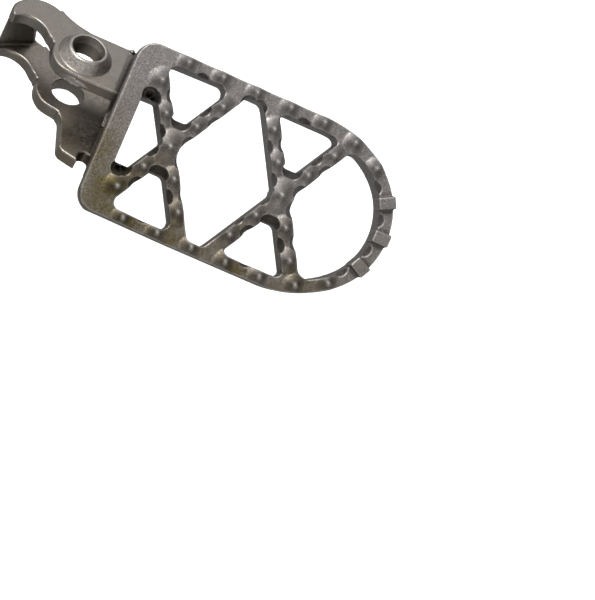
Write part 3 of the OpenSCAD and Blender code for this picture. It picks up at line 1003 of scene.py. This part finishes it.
# Shot-blasted cast steel: matt grey and grainy, stained brown on the near side. The grit is drawn at
# 0.5 mm, about twice its real size, to show.
blasted = cast_steel(
    "shot_blasted_cast_steel", base="#7c7876", lit="#aaa5a0", painted_shade_colour="#33302d", stain="#584e33",
    grit_mm=0.5, grit_depth=0.09, spread=0.26, roughness=0.50, wear=0.6,
)
# Worn teeth: the same skin, rubbed bright along its ridges and tips.
toothed = cast_steel(
    "shot_blasted_worn_teeth", base="#7e7a78", lit="#c4c0bb", painted_shade_colour="#33302d", stain="#584e33",
    grit_mm=0.5, grit_depth=0.06, spread=0.2, roughness=0.5, wear=0.7,
)

members = {}
deck_skin = skin((9.6, -38.4, -4.0), (104.4, 18.6, 25.0))
_, deck = part(deck_skin, (1, 0, 0, CUT_X))
bar, deck = part(deck, (1, 0, 0, BAR_CUT))
_, members["mount_bar"] = part(bar, UNDER_BAR)
straight, outer_end = part(deck, (1, 0, 0, BEND_X))

middle, far = part(straight, plan_line(0, 1, RAIL_CUT))
middle, near = part(middle, plan_line(0, -1, RAIL_CUT))
members["far_rail"], far_teeth = part(far, TOOTH_FOOT)
members["near_rail"], near_teeth = part(near, TOOTH_FOOT)
members["rail_teeth"] = weld(far_teeth, near_teeth)

bend_teeth = []
for name, side in (("far_bend", 1), ("near_bend", -1)):
    wedge = plan_line(-np.sin(BLEND), side * np.cos(BLEND), -NOSE_CX * np.sin(BLEND))
    chord_x, chord_y = BEND_CHORD
    chord = plan_line(chord_x, side * chord_y, chord_x * BEND_X + chord_y * RAIL_CUT)
    outer_end, beyond = part(outer_end, wedge)
    inside, bend = part(beyond, chord)
    members[name], teeth = part(bend, TOOTH_FOOT)
    bend_teeth.append(teeth)
    middle = weld(middle, inside)
members["bend_teeth"] = weld(*bend_teeth)
members["nose_ring"], members["nose_lugs"] = part(outer_end, TOOTH_FOOT)

inner, outer = part(middle, plan_line(1, 0, sum(CROSS_X) / 2))
for cross, body, cx in (("inner", inner, CROSS_X[0]), ("outer", outer, CROSS_X[1])):
    body, members[cross + "_brace_teeth"] = part(body, TOOTH_FOOT)
    left, right = part(body, plan_line(1, 0, cx))
    hub_parts = []
    for number, (sx, sy) in enumerate(BRACE_WAYS, 1):
        below, above = part(right if sx > 0 else left, plan_line(0, 1, 0))
        quarter = above if sy > 0 else below
        rhombus = plan_line(sx * HUB_HALF_Y, sy * HUB_HALF_X, HUB_HALF_Y * (sx * cx + HUB_HALF_X))
        centre, arm = part(quarter, rhombus)
        hub_parts.append(centre)
        if cross == "inner" and sx < 0:
            inner_edge = plan_line(ARM_NX, sy * ARM_NY, ARM_NX * cx - BRACE_HALF)
            corner, arm = part(arm, inner_edge)
            members["far_gusset" if sy > 0 else "near_gusset"] = corner
        members[f"{cross}_brace_{number}"] = arm
    members[cross + "_hub"] = weld(*hub_parts)

for name, solid in members.items():
    if name.endswith("teeth"):
        make_piece(name, solid, toothed)
    else:
        make_piece(name, solid, blasted)

# ---------------------------------------------------------------------------
# The studio
# A plain pale floor well below the peg, a broad soft light over it, and four
# smaller ones round it that draw the edges.
# ---------------------------------------------------------------------------
FLOOR_Z = -0.09
FLOOR_HALF = 3
floor_mesh = bpy.data.meshes.new("floor")
floor_mesh.from_pydata(
    [(x * FLOOR_HALF, y * FLOOR_HALF, FLOOR_Z) for x, y in ((-1, -1), (1, -1), (1, 1), (-1, 1))],
    [], [(0, 1, 2, 3)],
)
floor = bpy.data.objects.new("floor", floor_mesh)
bpy.context.scene.collection.objects.link(floor)
floor_paint = bpy.data.materials.new("matt_white_paint")
floor_paint.use_nodes = True
paint = floor_paint.node_tree.nodes["Principled BSDF"]
paint.inputs["Base Color"].default_value = linear("#f7f7f7")
paint.inputs["Roughness"].default_value = 0.9
paint.inputs["Emission Color"].default_value = (1, 1, 1, 1)
paint.inputs["Emission Strength"].default_value = 0.35
floor_mesh.materials.append(floor_paint)
floor.visible_glossy = False


def soft_light(name, place, aim, width, height, power):
    """Area light at a place in metres, turned to face the aim point; its power is in watts."""
    data = bpy.data.lights.new(name, "AREA")
    data.shape = "RECTANGLE"
    data.size = width
    data.size_y = height
    data.energy = power
    light = bpy.data.objects.new(name, data)
    bpy.context.scene.collection.objects.link(light)
    light.location = place
    light.rotation_euler = (Vector(aim) - Vector(place)).to_track_quat("-Z", "Y").to_euler()


PIVOT = (0.0, 0, 0)
MIDDLE = (0.04, 0, 0)
soft_light("overhead_softbox", (-0.45, 0.5, 1.0), MIDDLE, 0.6, 0.5, 13)
soft_light("inboard_panel", (-1.0, 0.75, 0.6), MIDDLE, 0.8, 0.7, 4)
soft_light("near_strip", (0.1, -0.9, 0.7), MIDDLE, 0.6, 0.3, 2)
soft_light("outboard_strip", (0.9, 0.1, 0.7), MIDDLE, 0.3, 0.6, 2)
soft_light("far_panel", (0.05, 1.1, 0.12), PIVOT, 0.9, 0.5, 1.6)
studio = bpy.data.worlds.new("studio")
studio.use_nodes = True
studio.node_tree.nodes["Background"].inputs["Color"].default_value = (1, 1, 1, 1)
studio.node_tree.nodes["Background"].inputs["Strength"].default_value = 0.35
bpy.context.scene.world = studio
bpy.context.scene.view_settings.view_transform = "Standard"
